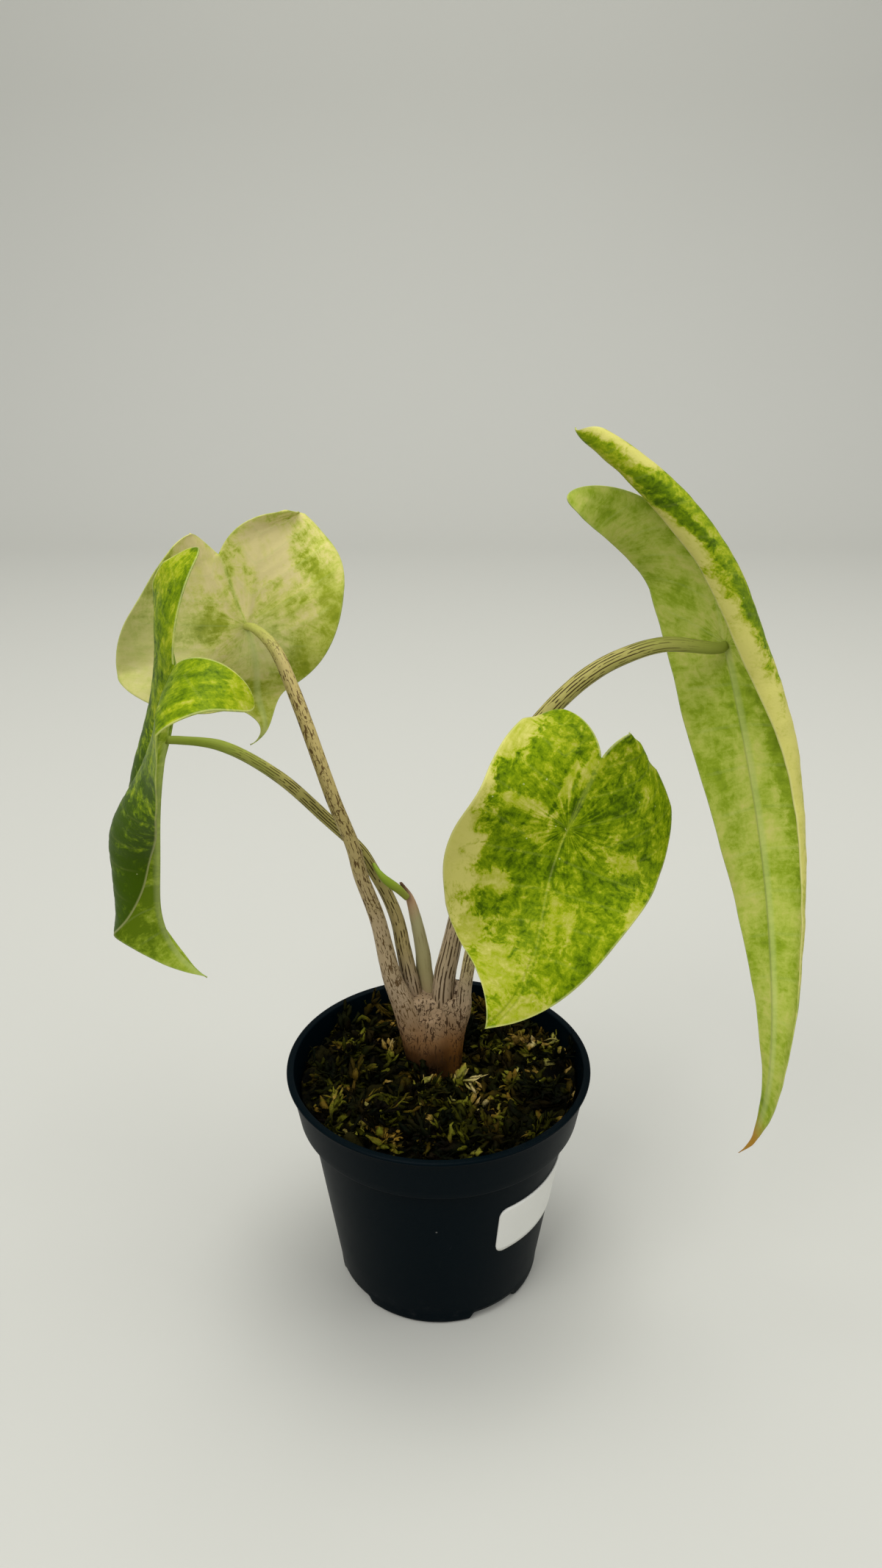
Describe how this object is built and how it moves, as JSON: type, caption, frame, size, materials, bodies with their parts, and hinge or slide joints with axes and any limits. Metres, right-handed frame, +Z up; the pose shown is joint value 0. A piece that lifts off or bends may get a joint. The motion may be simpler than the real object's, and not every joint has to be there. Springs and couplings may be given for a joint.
{
  "type": "potted alocasia longiloba",
  "caption": "Young variegated alocasia with arrow-shaped leaves on arching petioles, rising from a mossy crown in a round tapered nursery pot with a collar.",
  "frame": {"origin": "centre of the flat underside of the pot", "axes": "+Z up along the pot's axis, the pot's front faces -Y, +X to the right seen from the front"},
  "size_m": [0.2086, 0.1187, 0.2812],
  "materials": {
    "pot_plastic": "black satin plastic, slightly blue, with fine scratches",
    "label_paper": "white matt sticker, blank",
    "potting_mix": "dark moist crumbly mix",
    "moss": "olive and brown moss with straw-coloured strands",
    "crown_skin": "reddish brown, streaked with dark brown",
    "sheath_skin": "dry pale grey-green skin with a dark tip",
    "young_leaf": "smooth fresh green",
    "petiole_skin": "tan with fine dark brown dashes, green near the blade",
    "leaf_blade": "satin blade mottled with green, yellow and cream, paler underneath"
  },
  "bodies": {
    "root": {"pot": "pot_plastic", "label": "label_paper", "soil": "potting_mix", "moss": "moss", "crown": "crown_skin", "sheath": "sheath_skin", "new_leaf": "young_leaf", "petiole_back": "petiole_skin", "petiole_left": "petiole_skin", "petiole_right": "petiole_skin", "petiole_front": "petiole_skin", "leaf_back": "leaf_blade", "leaf_left": "leaf_blade", "leaf_right": "leaf_blade", "leaf_front": "leaf_blade"}
  },
  "joints": []
}
